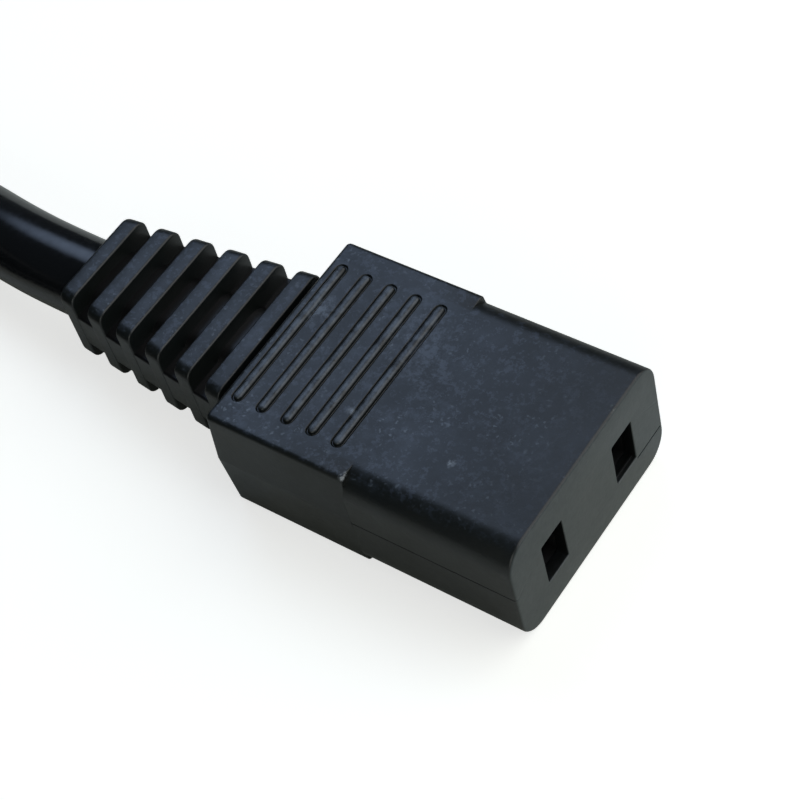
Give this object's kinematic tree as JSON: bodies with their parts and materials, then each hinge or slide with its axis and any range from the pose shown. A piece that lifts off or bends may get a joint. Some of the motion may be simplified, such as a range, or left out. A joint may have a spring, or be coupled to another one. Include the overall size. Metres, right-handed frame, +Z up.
{
  "type": "iec power cord",
  "caption": "Black moulded appliance connector with ribbed strain relief on a round cord, the rest of the cord coiled and ending in a flat-blade plug.",
  "frame": {"origin": "on the surface that the cord lies on, below the middle of the connector with its strain relief", "axes": "+X out of the connector's slotted face, +Z up, +Y to the left when looking along +X"},
  "size_m": [0.1703, 0.1161, 0.0329],
  "materials": {
    "connector_pvc": "moulded PVC, fine grain, slightly worn",
    "sheath_pvc": "extruded PVC, semi-gloss",
    "plug_pvc": "moulded PVC, fine grain",
    "insert_plastic": "moulded hard plastic",
    "contact_brass": "bent sheet, plain",
    "blade_brass": "stamped, lightly polished",
    "copper": "bare stranded copper",
    "core_black": "extruded PVC",
    "core_white": "extruded PVC",
    "tie_rubber": "flat band"
  },
  "bodies": {
    "root": {"connector_body": "connector_pvc", "cord_sheath": "sheath_pvc", "contact_carrier": "insert_plastic", "line_contact": "contact_brass", "neutral_contact": "contact_brass", "line_core": "core_black", "neutral_core": "core_white", "line_strands": "copper", "neutral_strands": "copper", "cord_coil": "sheath_pvc", "cord_tail": "sheath_pvc", "coil_tie": "tie_rubber", "plug_body": "plug_pvc", "plug_bridge": "insert_plastic", "line_blade": "blade_brass", "neutral_blade": "blade_brass", "plug_line_core": "core_black", "plug_neutral_core": "core_white", "plug_line_strands": "copper", "plug_neutral_strands": "copper"}
  },
  "joints": []
}
